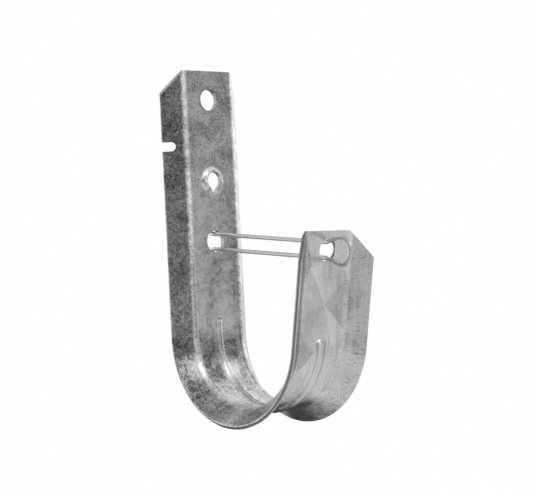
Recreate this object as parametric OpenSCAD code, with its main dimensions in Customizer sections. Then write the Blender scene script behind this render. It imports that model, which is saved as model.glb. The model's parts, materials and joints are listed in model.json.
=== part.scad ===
// J hook cable support: a folded sheet-steel hook and the spring wire that closes its mouth.
// X runs across the hook, +Y points to the wall and +Z is up.
// The origin is the middle of the mounting hole, on the face that the cables touch.

/* [Sheet] */
// Thickness of the sheet steel
sheet_t = 1.5; // [1:0.1:2]
// Width of the flat web between the two folds
web_w = 19.6; // [18:0.2:30]
// Angle by which each flange is folded away from the cables
flange_angle = 41; // [20:1:60]
// Width of the flat part of each flange
flange_w = 7.5; // [6:0.1:12]
// Inside radius of the folds
fold_r = 2.75; // [1:0.25:4]
// Rounding of the flange edges on the side of the cables
edge_r = 0.4; // [0.2:0.1:0.6]

/* [Hook] */
// Inside radius of the round bend that carries the cables
bend_r = 25.4; // [20:0.1:40]
// Straight height of the back plate above the bend
back_h = 96.6; // [85:0.1:120]
// Straight length of the lip beyond the bend
lip_len = 40.3; // [30:0.1:60]
// Angle by which the lip leans away from the back plate
lip_lean = 10.4; // [4:0.1:18]
// Length of the cut corners of the back plate, along each side of the flat blank
back_corner = 9.2; // [6:0.1:12]
// Length of the cut corners of the lip, along each side of the flat blank
lip_corner = 10; // [6:0.1:12]

/* [Holes] */
// Diameter of the mounting hole
mount_d = 7.7; // [5:0.1:9]
// Distance of the mounting hole from the top edge
mount_drop = 10.6; // [8:0.1:16]
// Distance of the screw form below the mounting hole
form_drop = 29.6; // [24:0.1:34]
// Diameter of the hole in the middle of the screw form
form_d = 6.4; // [4.5:0.1:7]
// Diameter of the raised collar of the screw form
form_base_d = 10.4; // [9:0.1:12]
// Height of the collar above the web, halfway round
form_rise = 1; // [0.7:0.1:1.4]
// Rise of the collar over one turn, like a screw thread
form_pitch = 1.2; // [0.6:0.1:1.4]
// Width of the slit that opens the collar
form_slit_w = 1.1; // [0.6:0.1:1.4]
// Distance of the wire hole below the mounting hole
wire_hole_drop = 51.7; // [48:0.1:56]
// Diameter of the two holes that the wire passes through
wire_hole_d = 7.9; // [7:0.1:9]
// Distance of the lip hole from the top edge of the lip
lip_hole_drop = 6.6; // [6:0.1:12]
// Distance from the top edge to the middle of the flange slots
slot_drop = 27.5; // [22:0.1:32]
// Width of the flange slots
slot_w = 3.4; // [2:0.1:5]
// Depth of the flange slots from the edge
slot_depth = 5; // [3.5:0.1:5.5]

/* [Bead] */
// Width of the groove of the stiffening bead
bead_w = 3.2; // [2.4:0.1:5]
// Depth of the groove of the stiffening bead
bead_depth = 1.2; // [0.8:0.1:1.5]
// Radius of the shoulders and feet of the bead
bead_blend_r = 0.6; // [0.4:0.1:1]
// Length of the bead on the back plate above the bend
bead_up_back = 5; // [2:0.5:10]
// Length of the bead on the lip beyond the bend
bead_up_lip = 0.5; // [0.5:0.5:8]

/* [Wire] */
// Diameter of the spring wire
wire_d = 1.5; // [1:0.1:2]
// Play between each wire leg and the edge of the wire hole
leg_play = 0.5; // [0.4:0.05:1]
// Angle at which the wire flares through the lip hole
flare_angle = 17; // [12:1:25]
// How far the round nose of the wire stands past the edge of the lip hole
nose_over = 0.8; // [0.5:0.1:2]
// Radius of the small bends in the wire
wire_bend_r = 1.3; // [1.2:0.1:2]
// Length of the straight wire ends behind the back plate
tail_len = 4; // [2:0.5:8]
// Clearance between the wire and the sheet where they meet
seat_gap = 0.05; // [0.02:0.01:0.2]

/* [Hidden] */
$fn = 96;
STEEL = [0.62, 0.63, 0.64];
SPRING = [0.82, 0.83, 0.84];
past = 1;                                       // how far cutting tools run past a face
trim = 2;                                       // angle by which a bend is made too long and trimmed
arc_steps = 5;                                  // steps along the small arcs of the section
fold_steps = 10;                                // steps along a fold

// Cross-section of the channel: x across, y outward from the cables
fold_out_r = fold_r + sheet_t;
fold_x = web_w / 2;
fold_end_x = fold_x + fold_out_r * sin(flange_angle);
tip_x = fold_end_x + flange_w * cos(flange_angle);
fold_len = fold_out_r * flange_angle * PI / 180;
blank_half_w = fold_x + fold_len + flange_w;

// Bead: the groove and the ridge are two arcs around one centre
groove_r = (pow(bead_w / 2, 2) + pow(bead_depth, 2)) / (2 * bead_depth);
bead_y = bead_depth - groove_r;
ridge_r = groove_r + sheet_t;
shoulder_x = sqrt(pow(groove_r + bead_blend_r, 2) - pow(bead_blend_r - bead_y, 2));
foot_y = sheet_t + bead_blend_r;
foot_x = sqrt(pow(ridge_r + bead_blend_r, 2) - pow(foot_y - bead_y, 2));
bead_reach = max(shoulder_x, foot_x) + bead_blend_r / 2;

// Height of the middle of the bend
bend_z = mount_drop - back_h;

// Screw form: the collar is a strip of sheet that climbs once around the hole
form_base_r = form_base_d / 2;
form_bury = 0.5;                                // how deep the collar's foot sits in the web
form_thin = 0.85;                               // share of the sheet thickness left in the collar
form_wedge = 25;                                // how far below its middle the hole opens into the slit
form_steps = 40;                                // rings around the collar
form_rows = 5;                                  // rows from its foot to its rim

// Wire: places along the line from the wire hole (s = 0) to the lip hole, w is up from that line
wire_r = wire_d / 2;
wire_sides = 20;
wire_step = 9;                                  // largest turn between two rings of the wire
hole_r = wire_hole_d / 2;
lip_hole_at = lip_len - lip_hole_drop;
lip_reach_y = (bend_r + sheet_t / 2) * cos(lip_lean) + lip_hole_at * sin(lip_lean) + bend_r;
lip_reach_z = lip_hole_at * cos(lip_lean) - (bend_r + sheet_t / 2) * sin(lip_lean);
run_y = lip_reach_y + sheet_t / 2;
run_drop = -wire_hole_drop - bend_z - lip_reach_z;
wire_tilt = atan2(run_drop, run_y);
run_len = norm([run_y, run_drop]);
lip_tip = lip_lean - wire_tilt;                 // lean of the lip seen along the wire
edge_s = run_len + hole_r * sin(lip_tip) + sheet_t / 2 * cos(lip_tip);
edge_w = hole_r * cos(lip_tip) - sheet_t / 2 * sin(lip_tip);
leg_w = hole_r - wire_r - leg_play;
neck_w = edge_w - (wire_r + seat_gap) / cos(flare_angle);
nose_r = hole_r + nose_over;
nose_s = edge_s + (nose_r * cos(flare_angle) - neck_w) / tan(flare_angle) + nose_r * sin(flare_angle);
kink_r = 2 * wire_bend_r;
kink_len = kink_r * tan(flare_angle / 2);
kink_s = edge_s - (neck_w - leg_w) / tan(flare_angle) - kink_len;
flare_len = (nose_r * cos(flare_angle) - leg_w) / sin(flare_angle) - kink_len;
tail_y = sheet_t / 2 + seat_gap + wire_r - wire_bend_r;

// ---------------------------------------------------------------- section of the sheet

// Points of an arc
function arc(middle, r, from, to, steps) =
    [for (k = [0:steps]) let (a = from + (to - from) * k / steps) middle + r * [cos(a), sin(a)]];

// Half of the bead, from its middle outward: the groove with its shoulder
function half_groove() = let (end = atan2(bead_blend_r - bead_y, shoulder_x)) concat(
    arc([0, bead_y], groove_r, 90, end, arc_steps),
    arc([shoulder_x, bead_blend_r], bead_blend_r, end + 180, 270, arc_steps));

// Back to the middle: the ridge on the other face, with its foot
function half_ridge() = let (end = atan2(foot_y - bead_y, foot_x)) concat(
    arc([foot_x, foot_y], bead_blend_r, 270, end + 180, arc_steps),
    arc([0, bead_y], ridge_r, end, 90, arc_steps));

// One fold and its flange, out along the cable side and back along the other
function half_fold() =
    let (fold = [fold_x, fold_out_r],
         out = [cos(flange_angle), sin(flange_angle)],
         rear = [-out[1], out[0]],
         tip = fold - fold_out_r * rear + flange_w * out) concat(
    arc(fold, fold_out_r, 270, 270 + flange_angle, fold_steps),
    arc(tip + edge_r * (rear - out), edge_r, 270 + flange_angle, 360 + flange_angle, arc_steps),
    [tip + sheet_t * rear],
    arc(fold, fold_r, 270 + flange_angle, 270, fold_steps));

// A whole section from its right half
module mirrored_2d(half) {
    count = len(half);
    polygon(concat(half, [for (k = [1:count]) let (p = half[count - k]) if (p[0] > 0) [-p[0], p[1]]]));
}

module plain_section_2d() {
    mirrored_2d(half_fold());
}

module bead_section_2d() {
    mirrored_2d(concat(half_groove(), half_fold(), half_ridge()));
}

module half_bead_2d() {
    polygon(concat(half_groove(), [[bead_reach, 0], [bead_reach, sheet_t]], half_ridge()));
}

// ---------------------------------------------------------------- legs and bend

// A straight leg that stands on the end of the bend, with the round end of the bead in it
module leg(height, bead_up) {
    linear_extrude(bead_up) bead_section_2d();
    translate([0, 0, bead_up]) {
        difference() {
            linear_extrude(height - bead_up) plain_section_2d();
            across(2 * bead_reach);
        }
        rotate([-90, 0, 0]) rotate_extrude(start = 180, angle = 180) half_bead_2d();
    }
}

// The round bend, trimmed by the plane on which the lip stands
module bend() {
    difference() {
        translate([0, -bend_r, 0]) rotate([90, 0, 90])
            rotate_extrude(start = 180 + lip_lean - trim, angle = 180 - lip_lean + trim)
                translate([bend_r, 0]) mirror([1, 0]) rotate(90) bead_section_2d();
        on_lip() translate([-2 * tip_x, -bend_r / 2, 0]) cube([4 * tip_x, bend_r, bend_r]);
    }
}

// Carries a leg from the back plate's end of the bend to the lip's end
module on_lip() {
    translate([0, -bend_r, 0]) rotate([180 + lip_lean, 0, 0]) translate([0, bend_r, 0])
        mirror([0, 0, 1]) children();
}

// ---------------------------------------------------------------- cuts

// A round cutter straight through the web
module across(d) {
    translate([0, -past, 0]) rotate([-90, 0, 0]) cylinder(d = d, h = sheet_t + 2 * past);
}

// Distance from the middle of the hook for a place u on the flat blank
function folded_x(u) =
    u < fold_x ? u :
    u < fold_x + fold_len ? fold_x + fold_out_r * sin((u - fold_x) / fold_out_r * 180 / PI) :
    fold_end_x + (u - fold_x - fold_len) * cos(flange_angle);

// The two corners of a leg's end, cut at 45 degrees in the flat blank
module corner_cuts(height, corner) {
    first_u = blank_half_w - corner;
    steps = 8;
    line = [for (k = [0:steps]) let (du = (corner + past) * k / steps) [folded_x(first_u + du), -du]];
    for (side = [0, 1]) mirror([side, 0, 0]) translate([0, tip_x, height]) rotate([90, 0, 0])
        linear_extrude(2 * tip_x) polygon(concat(line, [[tip_x + 2 * past, past], [line[0][0], past]]));
}

// The open slots in the edges of the back flanges
module flange_slots() {
    for (side = [0, 1]) mirror([side, 0, 0])
        translate([fold_x, fold_out_r, back_h - slot_drop]) rotate([0, 0, flange_angle])
            translate([flange_w - slot_depth + slot_w / 2, -fold_out_r, 0]) {
                across(slot_w);
                translate([0, -past, -slot_w / 2]) cube([slot_depth, sheet_t + 2 * past, slot_w]);
            }
}

// ---------------------------------------------------------------- screw form

// Height of the collar at an angle from the top, rising from one side of the slit to the other
function form_height(angle) = form_rise - form_pitch * angle / 360;

// Outline of the collar's strip at one angle, as radius and depth below the web's face
function form_outline(height) = concat(
    [[form_base_r + form_bury, sheet_t * 0.3]],
    [for (k = [0:form_rows]) form_point(k / form_rows, height, 0)],
    [for (k = [form_rows:-1:0]) form_point(k / form_rows, height, sheet_t * form_thin)],
    [[form_base_r + form_bury, sheet_t * 0.7]]);

function form_point(share, height, depth) =
    [form_base_r + (form_d / 2 - past / 4 - form_base_r) * share, depth - height * sin(90 * share)];

module form_collar() {
    open_angle = 4;
    sides = 2 * form_rows + 4;
    rings = [for (i = [0:form_steps])
        let (angle = -180 + open_angle + (360 - 2 * open_angle) * i / form_steps)
        [for (p = form_outline(form_height(angle))) [p[0] * sin(angle), p[1], p[0] * cos(angle)]]];
    points = [for (ring = rings) each ring];
    walls = [for (i = [0:form_steps - 1], k = [0:sides - 1])
        let (a = i * sides + k, b = i * sides + (k + 1) % sides)
        each [[a, a + sides, b], [b, a + sides, b + sides]]];
    ends = [[for (k = [0:sides - 1]) k], [for (k = [sides - 1:-1:0]) form_steps * sides + k]];
    polyhedron(points, concat(walls, ends), convexity = 6);
}

// The slit below the hole: it leaves the hole as a wedge and narrows to its own width
module form_slit() {
    half = form_slit_w / 2;
    start = form_d / 2 * [cos(form_wedge), -sin(form_wedge)];
    neck = -form_base_r + form_slit_w / 2;
    far = -form_base_r - form_slit_w;
    translate([0, sheet_t + past, 0]) rotate([90, 0, 0]) linear_extrude(form_rise + sheet_t + 3 * past)
        polygon([start, [half, neck], [half, far], [-half, far], [-half, neck], [-start[0], start[1]]]);
}

// ---------------------------------------------------------------- hook body

module hook_body() {
    color(STEEL) difference() {
        union() {
            difference() {
                translate([0, 0, bend_z]) {
                    difference() {
                        leg(back_h, bead_up_back);
                        corner_cuts(back_h, back_corner);
                        flange_slots();
                    }
                    bend();
                    on_lip() difference() {
                        leg(lip_len, bead_up_lip);
                        corner_cuts(lip_len, lip_corner);
                        translate([0, 0, lip_hole_at]) across(wire_hole_d);
                    }
                }
                across(mount_d);
                translate([0, 0, -wire_hole_drop]) across(wire_hole_d);
                translate([0, 0, -form_drop]) across(form_base_d - form_bury);
            }
            translate([0, 0, -form_drop]) form_collar();
        }
        translate([0, -form_rise - past, -form_drop]) rotate([-90, 0, 0])
            cylinder(d = form_d, h = form_rise + sheet_t + 2 * past);
        translate([0, 0, -form_drop]) form_slit();
    }
}

// ---------------------------------------------------------------- wire retainer

// Places along a bent wire from p, each [place, heading]; heading 0 is upward and turns towards +Y.
// A step is [0, length] or [bend radius, angle].
function wire_path(p, heading, steps, i = 0) =
    i == len(steps) ? [] :
    let (r = steps[i][0],
         turn = r == 0 ? 0 : steps[i][1],
         side = sign(turn) * r,
         pieces = max(1, ceil(abs(turn) / wire_step)),
         middle = p + side * [cos(heading), -sin(heading)],
         placed = r == 0 ? [[p + steps[i][1] * [sin(heading), cos(heading)], heading]] :
             [for (k = [1:pieces]) let (a = heading + turn * k / pieces)
                 [middle - side * [cos(a), -sin(a)], a]],
         last = placed[len(placed) - 1])
    concat(placed, wire_path(last[0], last[1], steps, i + 1));

// One leg of the wire, from the tip of the nose to its end behind the back plate
function wire_leg(lean) =
    let (bend_y = (tail_y + (leg_w + wire_bend_r) * sin(lean)) / cos(lean))
    wire_path([-nose_s - nose_r, 0], 0, [
        [nose_r, 90 + flare_angle],
        [0, flare_len],
        [kink_r, -flare_angle],
        [0, kink_s + bend_y],
        [wire_bend_r, lean - 90],
        [0, tail_len]]);

// A round wire swept along a path
module swept_wire(path) {
    rings = len(path);
    points = [for (q = path, k = [0:wire_sides - 1]) let (a = 360 * k / wire_sides)
        [wire_r * sin(a), q[0][0] + wire_r * cos(a) * cos(q[1]), q[0][1] - wire_r * cos(a) * sin(q[1])]];
    walls = [for (i = [0:rings - 2], k = [0:wire_sides - 1])
        let (a = i * wire_sides + k, b = i * wire_sides + (k + 1) % wire_sides)
        each [[a, b, a + wire_sides], [b, b + wire_sides, a + wire_sides]]];
    first = [for (k = [wire_sides - 1:-1:0]) k];
    last = [for (k = [0:wire_sides - 1]) (rings - 1) * wire_sides + k];
    polyhedron(points = points, faces = concat(walls, [first, last]), convexity = 6);
}

module wire_retainer() {
    upper = wire_leg(wire_tilt);
    lower = wire_leg(-wire_tilt);
    count = len(lower);
    path = concat(
        [for (k = [1:count]) let (q = lower[count - k]) [[q[0][0], -q[0][1]], -q[1]]],
        [[[-nose_s - nose_r, 0], 0]],
        upper);
    color(SPRING) translate([0, sheet_t / 2, -wire_hole_drop]) rotate([wire_tilt, 0, 0]) swept_wire(path);
}

hook_body();
wire_retainer();
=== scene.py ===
# %% [markdown]
# # A pressed steel cable hook in zinc-coated sheet
#
# A cable hook is one strip of sheet steel, folded along both edges and rolled into a J, with a
# springy wire that closes its mouth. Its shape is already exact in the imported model, so this
# lesson is about what shape alone can't give: the zinc skin, the drawn wire and a studio in
# which bare metal looks like metal.

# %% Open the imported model
import json
import math

import bpy
from mathutils import Matrix, Vector


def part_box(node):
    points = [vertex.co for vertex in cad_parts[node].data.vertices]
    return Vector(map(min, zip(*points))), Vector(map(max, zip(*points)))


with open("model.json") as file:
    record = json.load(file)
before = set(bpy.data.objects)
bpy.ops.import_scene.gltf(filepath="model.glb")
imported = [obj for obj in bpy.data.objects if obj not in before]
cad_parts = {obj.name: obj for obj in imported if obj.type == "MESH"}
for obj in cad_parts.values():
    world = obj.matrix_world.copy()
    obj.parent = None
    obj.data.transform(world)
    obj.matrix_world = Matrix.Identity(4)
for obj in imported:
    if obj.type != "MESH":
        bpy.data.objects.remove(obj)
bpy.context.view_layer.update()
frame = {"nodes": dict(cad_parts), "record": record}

MM = 1000  # millimetres in a metre
hook = frame["nodes"]["hook_body"]
wire = frame["nodes"]["wire_retainer"]
for piece in (hook, wire):
    print(piece.name, [round(MM * length, 1) for length in piece.dimensions], "mm")

# %% [markdown]
# ## Places that the finishes need
#
# A finish changes from place to place: the lip is smooth and starry, the back plate is mottled.
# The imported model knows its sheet's thickness and where its holes and ends are, so those places
# are worked out from its boxes and mounts, and the finish follows when they change. The roller's
# radius and the strip's folds are in neither, so they are typed in.

# %% Work out the places, in millimetres
low, high = (MM * Vector(corner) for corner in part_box("hook_body"))
mounts = {mount["name"]: mount for mount in frame["record"]["mounts"]}
THICKNESS = mounts["mounting_hole"]["dims"]["length_mm"]
DEPTH = high.y
BEND_RADIUS = 25.4
BEND_Z = low.z + BEND_RADIUS + DEPTH
FORM_ALONG = BEND_Z - MM * mounts["screw_form"]["pos_m"][2]
print("sheet", THICKNESS, "channel depth", round(DEPTH, 2), "bend centre at height", round(BEND_Z, 2))
print("the screw form is", round(-FORM_ALONG, 1), "above the bend")

# %% [markdown]
# ## Writing shader sums as Python
#
# Blender's shaders are graphs of small boxes. Wiring each box by hand hides the sum it makes,
# so a small class wraps one output and lets Python's own signs build the boxes. Numbers go
# through Math boxes. Vectors and colours go through Vector Math, because a Math box would turn
# a colour grey. The reflected forms let a plain number stand first, as in 1 - mask.

# %% A shader value that can be added, scaled and compared
class Tap:
    """One output of a box."""

    def __init__(self, graph, socket):
        self.graph = graph
        self.socket = socket

    def combine(self, operation, first, second):
        kind = "ShaderNodeMath"
        if is_vector(first) or is_vector(second):
            kind = "ShaderNodeVectorMath"
            first, second = as_three(first), as_three(second)
        return self.graph.node(kind, {"operation": operation}, {0: first, 1: second})

    def __add__(self, other):
        return self.combine("ADD", self, other)

    def __radd__(self, other):
        return self.combine("ADD", other, self)

    def __sub__(self, other):
        return self.combine("SUBTRACT", self, other)

    def __rsub__(self, other):
        return self.combine("SUBTRACT", other, self)

    def __mul__(self, other):
        return self.combine("MULTIPLY", self, other)

    def __rmul__(self, other):
        return self.combine("MULTIPLY", other, self)

    def __truediv__(self, other):
        return self.combine("DIVIDE", self, other)

    def __rtruediv__(self, other):
        return self.combine("DIVIDE", other, self)

    def __neg__(self):
        return self.combine("MULTIPLY", self, -1.0)

    def __gt__(self, other):
        return self.combine("GREATER_THAN", self, other)

    def __lt__(self, other):
        return self.combine("LESS_THAN", self, other)

def is_vector(value):
    if isinstance(value, Tap):
        return value.socket.type in {"VECTOR", "RGBA"}
    return isinstance(value, (tuple, Vector))

def as_three(value):
    """A plain number three times over, because a vector's socket takes three."""
    return (value,) * 3 if isinstance(value, (int, float)) else value

print("signs ready: + - * / > <")

# %% [markdown]
# ## One way to make any other box
#
# Noise, cells, ramps and the shader itself are boxes with settings and sockets. One method
# makes them all: it takes the type, then the settings, because some settings decide which
# sockets exist, and then a value or a link for each socket. It gives back the output that is
# asked for, or several of them.

# %% A material, or a world, under construction
class Finish:
    """A material whose boxes are made by one method."""

    def __init__(self, name, owners=bpy.data.materials):
        self.material = owners.new(name)
        self.material.use_nodes = True
        self.tree = self.material.node_tree
        self.tree.nodes.clear()

    def node(self, kind, settings, sockets, out=0):
        made = self.tree.nodes.new(kind)
        for name, value in settings.items():
            if name == "stops":
                self.set_stops(made.color_ramp, value)
            else:
                setattr(made, name, value)
        for key, value in sockets.items():
            self.fill(self.find(made.inputs, key), value)
        if isinstance(out, tuple):
            return [Tap(self, self.find(made.outputs, key)) for key in out]
        return Tap(self, self.find(made.outputs, out)) if made.outputs else None

    def find(self, sockets, key):
        if isinstance(key, int):
            return sockets[key]
        return next(s for s in sockets if s.identifier == key or (s.name == key and s.enabled))

    def fill(self, socket, value):
        if isinstance(value, Tap):
            self.tree.links.new(value.socket, socket)
        elif socket.type == "RGBA":
            socket.default_value = (*value, 1)
        else:
            socket.default_value = value

    def set_stops(self, ramp, stops):
        """Greys in plain steps: a stop is where its grey starts."""
        ramp.interpolation = "CONSTANT"
        while len(ramp.elements) > 1:
            ramp.elements.remove(ramp.elements[0])
        ramp.elements[0].position = stops[0][0]
        for place, _ in stops[1:]:
            ramp.elements.new(place)
        for element, (_, grey) in zip(ramp.elements, stops):
            element.color = (grey, grey, grey, 1)

print("one method makes every box")

# %% [markdown]
# ## The sums that Python has no sign for
#
# An absolute value, an angle or a length is one box each. They get short names here, so that
# later lines read as sentences. Each finds its graph through the value that it is given.

# %% Short names for single boxes
def math_box(operation, *values):
    return values[0].graph.node("ShaderNodeMath", {"operation": operation}, dict(enumerate(values)))

def absolute(value):
    return math_box("ABSOLUTE", value)

def clamp(value, least, most):
    return value.graph.node("ShaderNodeClamp", {}, {"Value": value, "Min": least, "Max": most})

def split(vector):
    return vector.graph.node("ShaderNodeSeparateXYZ", {}, {0: vector}, out=("X", "Y", "Z"))

def length_of(vector):
    return vector.graph.node("ShaderNodeVectorMath", {"operation": "LENGTH"}, {0: vector}, out="Value")

def unit_length(vector):
    return vector.graph.node("ShaderNodeVectorMath", {"operation": "NORMALIZE"}, {0: vector})

def colour_from(bright, red, blue):
    """A grey, leaning to red or to blue."""
    channels = {"Red": bright * red, "Green": bright, "Blue": bright * blue}
    return bright.graph.node("ShaderNodeCombineColor", {}, channels)

print("short names ready")

# %% [markdown]
# ## Small helpers in a metalworker's words
#
# A mask says where a finish applies, from 0 to 1. A fade is a soft edge between two places.
# Grain is noise, with its scale given in marks per millimetre, so every number can be checked
# with a ruler. An uneven tone swings about nothing, so a layer of it leaves the average alone.

# %% Masks, fades and grain
def place_on(finish):
    """Position on the part in millimetres."""
    return finish.node("ShaderNodeTexCoord", {}, {}, out="Object") * MM

def fade(value, start, end):
    """0 before start, 1 after end, soft in between."""
    ends = {"Value": value, "From Min": start, "From Max": end, "To Min": 0.0, "To Max": 1.0}
    return value.graph.node("ShaderNodeMapRange", {"interpolation_type": "SMOOTHSTEP"}, ends)

def blend(mask, first, second):
    """first where the mask is 0, second where it is 1."""
    kind = "Vector" if is_vector(first) else "Float"
    sockets = {"Factor_Float": mask, "A_" + kind: first, "B_" + kind: second}
    return mask.graph.node("ShaderNodeMix", {"data_type": kind.upper()}, sockets, out="Result_" + kind)

def grain(where, per_mm, detail, rough, squash=(1, 1, 1)):
    """Noise from 0 to 1, squashed along the axes to make streaks."""
    sockets = {"Vector": where * squash, "Scale": per_mm, "Detail": detail, "Roughness": rough}
    return where.graph.node("ShaderNodeTexNoise", {"noise_dimensions": "3D"}, sockets, out="Fac")

def uneven(tone, swing):
    """A tone from 0 to 1 becomes one that swings about 0."""
    return (tone - 0.5) * swing

print("masks ready")

# %% [markdown]
# ## Laying the strip flat
#
# The zinc froze on flat strip, and the strip was rolled into a J afterwards. A pattern worked
# out in plain space would cut through the bend like wood grain. So the strip is unrolled
# first: a point's place along it is its height on the back plate, then an arc round the bend,
# then its height on the lip. Its distance outward from the cable side is kept as well.

# %% The lines of the side view, in millimetres
LIP_LEAN = math.radians(10.4)
BEND_TURN = math.pi - LIP_LEAN
LIP_UP = Vector((-math.sin(LIP_LEAN), math.cos(LIP_LEAN)))
LIP_OUT = Vector((-math.cos(LIP_LEAN), -math.sin(LIP_LEAN)))
LIP_FOOT = Vector((-BEND_RADIUS, BEND_Z)) + BEND_RADIUS * LIP_OUT
print("bend is", round(BEND_RADIUS * BEND_TURN, 1), "mm along the strip")
print("lip starts at", [round(v, 1) for v in LIP_FOOT])

# %% Where a point lies along the strip, and how far outward
def strip_place(y, z):
    """Along is 0 where the bend begins, less than 0 up the back plate, more round the bend."""
    forward = y + BEND_RADIUS
    upward = z - BEND_Z
    turned = math_box("ARCTAN2", -forward, -upward) + math.pi / 2
    before_bend = turned < 0
    past_bend = turned > BEND_TURN
    from_foot = (y - LIP_FOOT.x, z - LIP_FOOT.y)
    up_lip = from_foot[0] * LIP_UP.x + from_foot[1] * LIP_UP.y
    out_of_lip = from_foot[0] * LIP_OUT.x + from_foot[1] * LIP_OUT.y
    along = clamp(turned, 0.0, BEND_TURN) * BEND_RADIUS - upward * before_bend + up_lip * past_bend
    outward = math_box("SQRT", forward * forward + upward * upward) - BEND_RADIUS
    outward = blend(past_bend, blend(before_bend, outward, y), out_of_lip)
    return along, outward

print("strip laid flat")

# %% [markdown]
# ## Bare steel at the cut edges
#
# The strip is coated before it is punched, so its cut edges and the walls of its holes are bare
# and darker. Picking those faces by hand would have to be done again for every new size. Instead
# they are found as the places that lie inside the sheet's thickness: the depth below the cable
# side is worked out for the web, then for the folds and then for the flanges. The pressed bead
# is left out, because the sheet dips there, and this depth would take its skin for an edge.

# %% Where the bare steel shows, in millimetres and radians
WEB_HALF = 9.8
FOLD_RADIUS = 4.25
FLANGE_ANGLE = math.radians(41)
SKIN = (0.32, 0.42)
DIP_HALF = 4.5
DIP_ENDS = (-9, 81)

def bare_steel(across, along, outward):
    """1 between the two skins of the sheet."""
    side = across - WEB_HALF
    lift = FOLD_RADIUS - outward
    fold = FOLD_RADIUS - math_box("SQRT", side * side + lift * lift)
    flange = FOLD_RADIUS - side * math.sin(FLANGE_ANGLE) - lift * math.cos(FLANGE_ANGLE)
    deep = blend(math_box("ARCTAN2", side, lift) > FLANGE_ANGLE, fold, flange)
    deep = blend(side > 0, outward, deep)
    inside = fade(deep, *SKIN) * fade(THICKNESS - deep, *SKIN)
    dip = (across < DIP_HALF) * (along > DIP_ENDS[0]) * (along < DIP_ENDS[1])
    return inside * (1 - dip)

print("bare steel shows between the two skins of the sheet")

# %% [markdown]
# ## Zinc crystals
#
# Hot-dip zinc freezes in flat crystals. Each one lies at its own small tilt, so under a lamp
# one flashes and its neighbour stays dull. Small ones are plain cells. A large one grows as a
# star: arms run out from one seed, and each arm has its own tone. A pattern printed on the metal
# would blur in a close view, and cells that are worked out stay sharp. Voronoi cells give the
# seeds, and the angle round a seed, cut into steps, gives the arms.

# %% Small crystals: one random colour each
def wobbly(where, per_mm, reach):
    """The same places, pushed about a little, so that edges come out ragged."""
    sockets = {"Vector": where, "Scale": per_mm, "Detail": 2.0}
    return where + uneven(where.graph.node("ShaderNodeTexNoise", {}, sockets, out="Color"), reach)

def small_crystals(where, per_mm):
    places = wobbly(where, per_mm=2.0 * per_mm, reach=0.9 / per_mm)
    sockets = {"Vector": places, "Scale": per_mm, "Randomness": 1.0}
    return where.graph.node("ShaderNodeTexVoronoi", {"feature": "F1"}, sockets, out="Color")

def tone_of(crystals):
    """One number from each crystal's random colour."""
    return split(crystals)[0]

print("small crystals ready")

# %% Large crystals: stars with arms
def share_of_turn(spoke):
    """How far round its seed a spoke points, as a share of a whole turn."""
    sideways, up, _ = split(spoke)
    return math_box("ARCTAN2", up, sideways) / (2 * math.pi)

def star_crystals(where, per_mm, arms):
    places = wobbly(where, per_mm=6.0 * per_mm, reach=1.2)
    settings = {"feature": "F1", "voronoi_dimensions": "2D"}
    sockets = {"Vector": places, "Scale": per_mm, "Randomness": 0.85}
    own, seed = where.graph.node("ShaderNodeTexVoronoi", settings, sockets, out=("Color", "Position"))
    arm = math_box("FLOOR", (share_of_turn(places - seed * (1 / per_mm)) + tone_of(own)) * arms)
    sockets = {"Vector": own, "W": arm}
    return where.graph.node("ShaderNodeTexWhiteNoise", {"noise_dimensions": "4D"}, sockets, out="Color")

print("star crystals ready")

# %% [markdown]
# ## One great star
#
# The middle of the lip has one crystal as wide as the lip itself. It catches the eye first, so
# it isn't left to chance: its arms are chosen one by one.

# %% The great star, in the middle of the lip
STAR_AT = (0.4, 89.9, 0.0)
STAR_STRETCH = (1.2, 0.85, 0.0)
STAR_EDGE = (15.5, 13.5)
STAR_ARMS = [  # the share of a turn where the arm starts, and its grey
    (0.0, 0.38), (0.12, 0.52), (0.28, 0.68), (0.335, 0.46), (0.42, 0.53),
    (0.55, 0.44), (0.66, 0.54), (0.80, 0.68), (0.88, 0.38)]

def great_star(where):
    """Its tone, and a mask that says where it lies."""
    spoke = where - STAR_AT
    share = math_box("FRACT", share_of_turn(spoke) + 1.0)
    greys = where.graph.node("ShaderNodeValToRGB", {"stops": STAR_ARMS}, {"Fac": share}, out="Color")
    return tone_of(greys), fade(length_of(spoke * STAR_STRETCH), *STAR_EDGE)

print("great star with", len(STAR_ARMS), "arms")

# %% [markdown]
# ## The zinc-coated sheet
#
# The back plate has a fine, mottled spangle. The lip, at the other end of the strip, shows large stars,
# soft bars rubbed along the strip and short hairlines across its edge. In the bend the rolls left stains
# in places, and painted shade and painted highlights stand in for the room's reflections there. All this
# lies on one sheet, so one material holds it and fades along the strip join the parts. It is built in
# layers, one cell for each.

# %% Start the sheet's finish with the places that every layer uses
BACK_TO_BEND = (-6.0, 4.0)  # along the strip, where one finish fades into the next
BEND_TO_LIP = (50.0, 64.0)

sheet = Finish("zinc coated sheet")
where = place_on(sheet)
x, y, z = split(where)
across = absolute(x)
along, outward = strip_place(y, z)
flat = sheet.node("ShaderNodeCombineXYZ", {}, {"X": x, "Y": along, "Z": 0.0})
past_back = fade(along, *BACK_TO_BEND)
on_lip = fade(along, *BEND_TO_LIP)
on_bend = past_back * (1 - on_lip)
print("places ready,", len(sheet.tree.nodes), "boxes")

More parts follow.
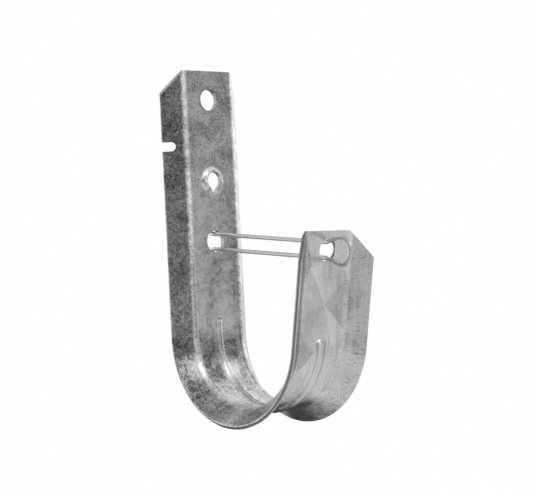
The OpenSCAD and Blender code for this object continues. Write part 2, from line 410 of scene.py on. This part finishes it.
# %% Grit, crystals, clouds and streaks
grit = grain(where, per_mm=1.5, detail=4.0, rough=0.80)
fine = small_crystals(where, per_mm=1.1)
plates = small_crystals(flat, per_mm=0.22)
mottle = fade(grain(where, per_mm=0.45, detail=5.0, rough=0.70), 0.36, 0.64)
cloud = grain(flat, per_mm=0.10, detail=3.0, rough=0.55)
speck = fade(grain(where, per_mm=2.4, detail=2.0, rough=0.6), 0.60, 0.74)
ragged = grain(flat, per_mm=0.55, detail=4.0, rough=0.75)
streak = grain(flat, per_mm=1.0, detail=4.0, rough=0.65, squash=(2.2, 0.25, 1.0))
print("grain ready,", len(sheet.tree.nodes), "boxes")

# %% [markdown]
# ## Where the press smoothed the sheet
#
# Tools that press on the zinc flatten its grit. The collar round the screw form was drawn
# smooth, and the folds, the lower web and the web of the bend were rolled. A finish for each of
# these would show a seam between them, so the grit stays one layer, and only its depth changes
# from place to place.

# %% How deep the grit is
LOWER_WEB_FROM = (-56.0, -34.0)
WEB_EDGE = (10.5, 8.0)
FOLD_MIDDLE = 11.0
FOLD_EDGE = (2.4, 1.2)
COLLAR_EDGE = (6.4, 5.2)

lower_web = fade(along, *LOWER_WEB_FROM) * fade(across, *WEB_EDGE) * (1 - on_bend)
bend_web = on_bend * (across < WEB_HALF)
on_folds = fade(absolute(across - FOLD_MIDDLE), *FOLD_EDGE)
on_collar = fade(length_of(flat - (0.0, FORM_ALONG, 0.0)), *COLLAR_EDGE)
grit_depth = 2.3 - lower_web * 1.4 - on_folds * (1.1 + on_bend * 0.5) - bend_web * 1.1
grit_depth = grit_depth * (1 - on_collar * 0.75)
print("grit ready,", len(sheet.tree.nodes), "boxes")

# %% [markdown]
# ## Broken lines at the folds and the bead
#
# The folds carry broken lines: painted shade in the creases of the bend, and bright lines on the lip. A
# thin line of painted shade follows each side of the bead. A line is a narrow fade, and grain breaks it
# up, so that it looks broken and not drawn.

# %% Lines along the folds and beside the bead
THIN_LINE = (0.4, 0.1)
CREASE_LINE = (0.45, 0.15)
CREASE_FROM = (-5.0, 0.0)
BEAD_EDGE = 1.8
BEAD_ENDS = (-5.5, 77)

from_fold = absolute(across - WEB_HALF)
# Bright broken lines along the folds; only the lip uses them.
line_gaps = fade(grain(where, per_mm=1.1, detail=3.0, rough=0.7), 0.46, 0.56)
fold_lines = fade(from_fold, *THIN_LINE) * line_gaps
# Painted shade: dark broken lines in the creases of the folds, in the bend only.
shade_gaps = fade(ragged, 0.38, 0.50)
crease_shade = fade(from_fold, *CREASE_LINE) * fade(along, *CREASE_FROM) * shade_gaps * (1 - on_lip)
# Painted shade: a thin dark line along each side of the bead.
bead_edge_shade = fade(absolute(across - BEAD_EDGE), *THIN_LINE)
bead_edge_shade = bead_edge_shade * (along > BEAD_ENDS[0]) * (along < BEAD_ENDS[1])
print("lines ready,", len(sheet.tree.nodes), "boxes")

# %% [markdown]
# ## Stains, painted shade and painted highlights
#
# Some patches are stains from the rolls and from handling; others are painted shade and painted
# highlights that stand in for the reflections of the room. No noise puts them in the right places. Each
# is one patch with a ragged edge, listed on the flat strip: its middle across and along, its half width
# and half length, the softness of its edge and its depth. A depth below 0 makes the patch lighter.

# %% One patch, and a list of them
def spot(flat, middle, half, soft, edge):
    """1 inside the patch. Its edge wanders with a tone from 0 to 1."""
    sideways, up, _ = split((flat - (*middle, 0.0)) * (1 / half[0], 1 / half[1], 0.0))
    far = math_box("MAXIMUM", absolute(sideways), absolute(up)) + uneven(edge, 0.9)
    return fade(far, 1.0 + soft, 1.0 - soft)

def spots(flat, patches, edge):
    """All the patches, each times its depth."""
    total = 0.0
    for middle, half, soft, depth in patches.values():
        total = total + spot(flat, middle, half, soft, edge) * depth
    return total

print("a patch can be placed")

# %% Patches on the back plate and in the bend
BACK_PATCHES = {  # middle, half size, softness, depth
    # Beside the bead: stains, with painted shade for the dark reflections there.
    "long stain and painted shade left of the bead": ((-6.2, 9.0), (3.4, 8.5), 0.35, 0.34),
    "stain and painted shade right of the bead": ((4.8, 4.6), (2.8, 3.2), 0.3, 0.26),
    # Painted shade on the left flange in the bend.
    "painted shade on the left flange": ((-14.6, 17.5), (2.4, 3.6), 0.2, 0.26),
    # Faint stain with painted shade, low on the right of the bend.
    "faint stain and painted shade low on the right": ((6.5, 17.0), (1.6, 4.0), 0.35, 0.10),
    # Painted shadow of the wire: a dark streak under its hole.
    "painted wire shadow under the hole": ((-1.0, -28.0), (1.2, 5.0), 0.8, 0.12),
    "dull line up the right edge": ((8.8, -26.0), (1.8, 24.0), 0.8, 0.18),
    # Lighter above the bead.
    "lighter patch above the bead": ((3.0, -10.0), (4.5, 6.0), 0.9, -0.16),
    # Painted highlights in the bend: in the bead, on the left fold and right of the bead.
    "painted highlight in the bead": ((1.0, 13.5), (1.6, 3.2), 0.4, -0.16),
    "painted highlight on the left fold": ((-12.8, 12.5), (2.6, 5.5), 0.5, -0.24),
    "painted highlight right of the bead": ((3.2, 12.5), (2.0, 2.6), 0.4, -0.26),
    "pale web above the wire hole": ((-4.0, -42.0), (6.0, 7.0), 0.4, -0.06),
    # A painted highlight that widens the left fold's highlight up the web.
    "painted highlight up the left edge": ((-8.2, -24.0), (2.2, 26.0), 0.9, -0.12),
    "left flange by the screw form": ((-13.0, -60.0), (4.0, 9.0), 0.8, 0.08),
    "left flange above the bend": ((-13.0, -22.0), (4.0, 9.0), 0.8, 0.08),
    "left flange entering the bend": ((-15.5, 3.0), (3.5, 10.0), 0.8, 0.10),
    "left flange round the bend": ((-15.0, 30.0), (4.5, 12.0), 0.7, 0.08),
    # Painted shade along the left flange's outer edge in the bend.
    "painted shade on the left flange's outer edge": ((-16.4, 11.5), (2.6, 7.5), 0.5, 0.22),
    "left flange's top": ((-14.5, -80.0), (4.5, 16.0), 0.8, 0.14),
    "top of the web": ((3.0, -88.0), (8.0, 6.0), 0.6, 0.10),
}

# The patches hold stains, painted shade and painted highlights.
stains_and_painted_light = spots(flat, BACK_PATCHES, ragged)
print(len(BACK_PATCHES), "patches,", len(sheet.tree.nodes), "boxes")

# %% [markdown]
# ## The lip
#
# On the lip the zinc had time to grow stars. The rolls then drew soft bars along it, and the edge of its
# right flange was scratched crosswise. A few bars and crystals stand out, so they are patches like those
# on the back plate, with straight edges.

# %% Bars left by the rolls and single crystals
LIP_PATCHES = {  # middle, half size, softness, depth
    "long bar high on the right": ((6.7, 97.3), (0.6, 3.1), 0.25, 0.13),
    "short bar low on the right": ((5.8, 73.5), (0.4, 1.8), 0.4, 0.09),
    "short bar on the left": ((-4.6, 83.0), (0.5, 1.5), 0.4, 0.06),
    "crystal on the flange": ((13.2, 90.5), (1.6, 2.4), 0.15, 0.08),
    "crystal low on the flange": ((15.8, 76.0), (2.4, 3.6), 0.15, 0.07),
    "pale crystal on the flange": ((15.5, 98.0), (2.6, 3.2), 0.2, -0.05),
    "pale crystal under the wire": ((-5.5, 100.0), (3.0, 3.5), 0.3, -0.05),
    "crystal left of the star": ((-7.0, 88.0), (2.0, 4.0), 0.2, 0.05),
}

lip_marks = spots(flat, LIP_PATCHES, 0.5)
print(len(LIP_PATCHES), "patches,", len(sheet.tree.nodes), "boxes")

# %% Stars, rubbing and hairlines
HAIRS_FROM = (8.0, 11.0)

stars = star_crystals(flat, per_mm=0.06, arms=7)
star, on_star = great_star(flat)
rubbed = grain(flat, per_mm=1.0, detail=3.0, rough=0.6, squash=(3.0, 0.10, 1.0))
bars = fade(grain(flat, per_mm=1.0, detail=1.0, rough=0.4, squash=(0.40, 0.055, 1.0)), 0.58, 0.64)
hairs = fade(grain(flat, per_mm=1.0, detail=3.0, rough=0.65, squash=(0.45, 2.2, 1.0)), 0.58, 0.63)
hairs = hairs * fade(x, *HAIRS_FROM)
print("lip ready,", len(sheet.tree.nodes), "boxes")

# %% [markdown]
# ## Adding the layers up
#
# Each layer lightens or darkens one middle grey. Layers are added and not multiplied, so that
# each can be turned down alone. The sum is held between a darkest and a brightest grey,
# because real zinc is never black and never a mirror. Last, the cut edges get their bare steel.

# %% How bright the zinc is
MIDDLE_GREY = 0.64
DARKEST = 0.12
BRIGHTEST = 0.86

back_tone = uneven(grit, grit_depth) + uneven(tone_of(plates), 0.20) + uneven(tone_of(fine), 0.22)
back_tone = back_tone + uneven(mottle, 0.13) + uneven(cloud, 0.70) + uneven(streak, 0.50) * on_bend
# The collar is painted a little lighter here, a painted highlight; the creases get their painted shade.
back_tone = back_tone + on_collar * 0.06 - speck * 0.06 - crease_shade * 0.25 - stains_and_painted_light

lip_tone = blend(on_star, uneven(tone_of(stars), 0.30), uneven(star, 0.62))
lip_tone = lip_tone + uneven(rubbed, 0.40) + uneven(cloud, 0.30) + uneven(grit, 0.60)
lip_tone = lip_tone + fold_lines * 0.22 - bars * 0.08 - hairs * 0.30 - lip_marks

# The bead's sides get their painted shade here.
zinc = blend(on_lip, back_tone, lip_tone) + MIDDLE_GREY - bead_edge_shade * 0.14
zinc = clamp(zinc, DARKEST, BRIGHTEST)
print("zinc ready,", len(sheet.tree.nodes), "boxes")

# %% Colour and roughness, with the cut edges bare
BARE_GREY_BACK = 0.42
# Past the back plate the bare edges are darker still: painted shade over bare steel.
BARE_GREY_SHADED = 0.22
BARE_ROUGH = 0.45

bare = bare_steel(across, along, outward)
bright = blend(bare, zinc, blend(past_back, BARE_GREY_BACK, BARE_GREY_SHADED))
zinc_rough = blend(on_lip, 0.23 + uneven(grit, 0.10), 0.24 + uneven(rubbed, 0.06))
rough = blend(bare, zinc_rough, BARE_ROUGH)
colour = colour_from(bright, red=0.998, blue=1.004)
print("colour ready,", len(sheet.tree.nodes), "boxes")

# %% [markdown]
# ## The way the surface faces
#
# Three things change it. The collar round the screw form is made of flat facets, and a Bevel
# box rounds how they take the light, without moving them. Each crystal has its own small tilt.
# The grit is a real height, so it goes through a Bump box.

# %% Tilted crystals and a bumpy skin
ROUNDING = 0.0005
BUMP_DEPTH = 0.00008

tilt = blend(on_lip, uneven(fine, 0.05), uneven(stars, 0.03))
as_meshed = sheet.node("ShaderNodeNewGeometry", {}, {}, out="Normal")
rounded = sheet.node("ShaderNodeBevel", {"samples": 4}, {"Radius": ROUNDING})
facing = unit_length(blend(on_collar, as_meshed, rounded) + tilt)
height = blend(on_lip, grit + streak * on_bend, rubbed * 0.5 - hairs * 0.5 - bars * 0.4)
skin = {"Strength": 0.35, "Distance": BUMP_DEPTH, "Height": height, "Normal": facing}
bumpy = sheet.node("ShaderNodeBump", {}, skin)
print("surface ready,", len(sheet.tree.nodes), "boxes")

# %% Hand colour, roughness and facing to the metal
def bare_metal(finish, colour, rough, facing):
    sockets = {"Base Color": colour, "Metallic": 1.0, "Roughness": rough, "Normal": facing}
    metal = finish.node("ShaderNodeBsdfPrincipled", {}, sockets)
    finish.node("ShaderNodeOutputMaterial", {}, {"Surface": metal})

bare_metal(sheet, colour, rough, bumpy)
print("sheet:", len(sheet.tree.nodes), "boxes")

# %% [markdown]
# ## The drawn wire
#
# The retainer is hard drawn spring wire. Drawing leaves a bright skin with faint lines along
# it, and no crystals. A plain bright metal with a little grain is enough. Its round section is
# a ring of facets, which a Bevel box rounds as it does on the collar.

# %% Build the wire's finish
drawn = Finish("drawn spring wire")
lines = grain(place_on(drawn), per_mm=2.0, detail=3.0, rough=0.6, squash=(1.0, 0.15, 1.0))
drawn_colour = colour_from(0.60 + uneven(lines, 0.20), red=1.0, blue=1.005)
drawn_rounded = drawn.node("ShaderNodeBevel", {"samples": 6}, {"Radius": ROUNDING})
bare_metal(drawn, drawn_colour, 0.24 + uneven(lines, 0.1), drawn_rounded)
print("wire:", len(drawn.tree.nodes), "boxes")

# %% Give each piece its finish
for piece, finish in ((hook, sheet), (wire, drawn)):
    for slot in piece.material_slots:
        slot.material = finish.material
    print(piece.name, "slots:", len(piece.material_slots))

# %% [markdown]
# ## Floor, world and tent
#
# Bare metal shows nothing but the room. The floor and the world are white to the camera, and to
# reflections when the tent is taken down, and they light the hook only gently. The tent of grey
# paper stands round the hook. It is seen in reflections alone, and its paper is painted: pale
# walls behind and on the right, a dark flag at the left, soft steps between them. Lamps alone
# would leave most of the metal black, and these greys draw its shape.

# %% What the camera or a reflection sees directly
def seen_directly(finish):
    rays = ("Is Camera Ray", "Is Glossy Ray", "Is Transmission Ray")
    camera_ray, glossy, through = finish.node("ShaderNodeLightPath", {}, {}, out=rays)
    return clamp(camera_ray + glossy + through, 0.0, 1.0)

def stage_mesh(name, corners, faces, material):
    mesh = bpy.data.meshes.new(name)
    mesh.from_pydata(corners, [], faces)
    mesh.materials.append(material)
    made = bpy.data.objects.new(name, mesh)
    bpy.context.scene.collection.objects.link(made)
    return made

print("stage helpers ready")

# %% A pale floor under the hook, in metres
FLOOR_DROP = 1.4
FLOOR_HALF = 6.0

def pale_floor():
    finish = Finish("pale floor")
    paint = finish.node("ShaderNodeBsdfPrincipled", {}, {"Base Color": (0.9, 0.9, 0.9), "Roughness": 0.8})
    glow = finish.node("ShaderNodeEmission", {}, {"Color": (1, 1, 1), "Strength": 1.0})
    mixed = finish.node("ShaderNodeMixShader", {}, {0: seen_directly(finish), 1: paint, 2: glow})
    finish.node("ShaderNodeOutputMaterial", {}, {"Surface": mixed})
    return finish.material

under = low.z / MM - FLOOR_DROP
around = ((-1, -1), (1, -1), (1, 1), (-1, 1))
floor_corners = [(FLOOR_HALF * right, FLOOR_HALF * back, under) for right, back in around]
stage_mesh("floor", floor_corners, [(0, 1, 2, 3)], pale_floor())
print("floor at", round(under, 3), "m")

# %% The world round it
DIRECT_WHITE = 1.0
GENTLE_LIGHT = 0.4

air = Finish("studio", bpy.data.worlds)
strength = GENTLE_LIGHT + seen_directly(air) * (DIRECT_WHITE - GENTLE_LIGHT)
sky = air.node("ShaderNodeBackground", {}, {"Color": (1, 1, 1), "Strength": strength})
air.node("ShaderNodeOutputWorld", {}, {"Surface": sky})
bpy.context.scene.world = air.material
print("world boxes:", len(air.tree.nodes))

# %% [markdown]
# ## Painting the tent
#
# A patch's place is a turn round the hook and a rise above the horizon, in degrees. A turn of 0
# is in front of the cable side and a positive turn is to the right. A patch has a width, a
# height, a soft edge across, a soft edge up and one grey. Each is painted over the ones before
# it. The greys come from asking, for each face of the hook, where its reflection points.

# %% The patches, painted in this order
TENT_GREY = 0.7
TENT_PATCHES = {  # turn, rise, width, height, soft edge across, soft edge up, grey
    "roof": (0, 90, 400, 40, 10, 20, 0.63),
    "wall behind": (180, 5, 110, 70, 20, 20, 0.92),
    "high behind on the left": (-118, 62, 100, 26, 20, 14, 0.29),
    "low behind": (-170, -68, 120, 16, 20, 8, 0.29),
    "dark cloth low behind": (160, -44, 70, 34, 16, 10, 0.05),
    "high lamp on the left": (-14, 42, 60, 24, 20, 12, 1.25),
    "high lamp in front": (45, 45, 16, 12, 10, 8, 0.98),
    "bright wall on the right": (104, 7, 68, 18, 16, 8, 0.7),
    "grey above the wall": (98, 40, 80, 40, 20, 10, 0.89),
    "low right": (88, -15, 66, 18, 14, 8, 0.46),
    "dark low right": (134, -24, 40, 30, 10, 8, 0.04),
    "low left": (-60, -17, 18, 24, 12, 8, 1.05),
    "low in front": (-34, -16, 26, 16, 12, 8, 0.45),
    "bright strip in front": (2, 6, 22, 30, 16, 12, 1.08),
    "grey in front of the web": (46, 4, 26, 22, 14, 14, 0.35),
    "dark band above it": (46, 20, 20, 16, 8, 8, 0.23),
    "dark flag on the left": (-47, 6, 34, 24, 20, 10, 0.08),
    "left of the flag": (-75, 15, 20, 60, 14, 12, 0.93),
}
print(len(TENT_PATCHES), "patches on paper of grey", TENT_GREY)

# %% The painted paper
DEGREES = 180 / math.pi
aim = (low + high) / 2 / MM

def patch_mask(from_middle, size, soft):
    return fade(from_middle, (size + soft) / 2, (size - soft) / 2)

def painted_paper():
    finish = Finish("painted tent")
    on_paper = finish.node("ShaderNodeNewGeometry", {}, {}, out="Position")
    east, north, up = split(unit_length(on_paper - aim))
    turn = math_box("ARCTAN2", east, -north) * DEGREES
    rise = math_box("ARCSINE", up) * DEGREES
    grey = TENT_GREY
    for at_turn, at_rise, wide, tall, soft, soft_up, tone in TENT_PATCHES.values():
        aside = math_box("PINGPONG", turn - at_turn, 180.0)
        mask = patch_mask(aside, wide, soft) * patch_mask(absolute(rise - at_rise), tall, soft_up)
        grey = blend(mask, grey, tone)
    paint = colour_from(grey, red=1.0, blue=1.0)
    glow = finish.node("ShaderNodeEmission", {}, {"Color": paint, "Strength": 1.0})
    finish.node("ShaderNodeOutputMaterial", {}, {"Surface": glow})
    return finish.material

print("the tent stands round", [round(v, 3) for v in aim])

# %% The tent itself, a ball seen in reflections only
TENT_RADIUS = 1.3
RINGS = 24
SIDES = 48

def toward(turn, rise):
    """One step toward a turn and a rise, both in degrees."""
    turn, rise = math.radians(turn), math.radians(rise)
    return Vector((math.sin(turn) * math.cos(rise), -math.cos(turn) * math.cos(rise), math.sin(rise)))

def ball_corners():
    rises = [180 * (ring / RINGS - 0.5) for ring in range(RINGS + 1)]
    turns = [90 + 360 * side / SIDES for side in range(SIDES)]
    return [aim + TENT_RADIUS * toward(turn, rise) for rise in rises for turn in turns]

def ball_faces():
    """Each face joins two neighbours on one ring to two on the next."""
    faces = []
    for ring in range(RINGS):
        for side in range(SIDES):
            beside = (side + 1) % SIDES
            here, above = ring * SIDES, (ring + 1) * SIDES
            faces.append((here + side, here + beside, above + beside, above + side))
    return faces

tent = stage_mesh("tent", ball_corners(), ball_faces(), painted_paper())
tent.visible_camera = tent.visible_shadow = tent.visible_diffuse = False
print("tent:", len(tent.data.polygons), "faces")

# %% [markdown]
# ## Lamps
#
# Two large soft lamps stand round the hook as well. They shape the wire and the thin edges,
# which the paper is too even to do.

# %% Put up the lamps
def lamp(name, turn, rise, distance, size, power):
    data = bpy.data.lights.new(name, "AREA")
    data.shape = "RECTANGLE"
    data.size, data.size_y = size
    data.energy = power
    stand = bpy.data.objects.new(name, data)
    away = toward(turn, rise)
    stand.location = aim + away * distance
    stand.rotation_euler = (-away).to_track_quat("-Z", "Y").to_euler()
    bpy.context.scene.collection.objects.link(stand)
    print(name, "at", [round(v, 2) for v in stand.location])

lamp("soft lamp, front", turn=0, rise=45, distance=1.1, size=(0.5, 0.3), power=0.5)
lamp("soft lamp, right", turn=105, rise=10, distance=1.1, size=(0.8, 0.4), power=0.6)

# %% [markdown]
# ## Camera
#
# The hook is seen from its left front, a little below its middle, from arm's length. A long
# lens keeps the two legs of the J nearly the same width. The camera is also rolled a few
# degrees, because the hook was held slightly askew.

# %% Set the camera
CAMERA_TARGET = Vector((-0.01038, -0.038245, -0.055927))
CAMERA_TURN = -42.959
CAMERA_RISE = -1.125
CAMERA_ROLL = math.radians(-2.895)
CAMERA_DISTANCE = 0.703285
CAMERA_LENS = 136.68

def set_camera():
    back = toward(CAMERA_TURN, CAMERA_RISE)
    right = (-back).cross(Vector((0, 0, 1))).normalized()
    up = right.cross(-back)
    side = right * math.cos(CAMERA_ROLL) + up * math.sin(CAMERA_ROLL)
    top = up * math.cos(CAMERA_ROLL) - right * math.sin(CAMERA_ROLL)
    data = bpy.data.cameras.new("camera")
    data.lens = CAMERA_LENS
    data.clip_start, data.clip_end = 0.01, 20
    made = bpy.data.objects.new("camera", data)
    turned = Matrix((side, top, back)).transposed().to_4x4()
    made.matrix_world = Matrix.Translation(CAMERA_TARGET + back * CAMERA_DISTANCE) @ turned
    bpy.context.scene.collection.objects.link(made)
    bpy.context.scene.camera = made
    return made

print("camera at", [round(v, 3) for v in set_camera().location])

# %% [markdown]
# ## Plain view
#
# Other view transforms bend the greys to look like film. Standard shows them as they were written, so a
# finish can be judged by its numbers.

# %% Plain view settings
scene = bpy.context.scene
scene.view_settings.view_transform = "Standard"
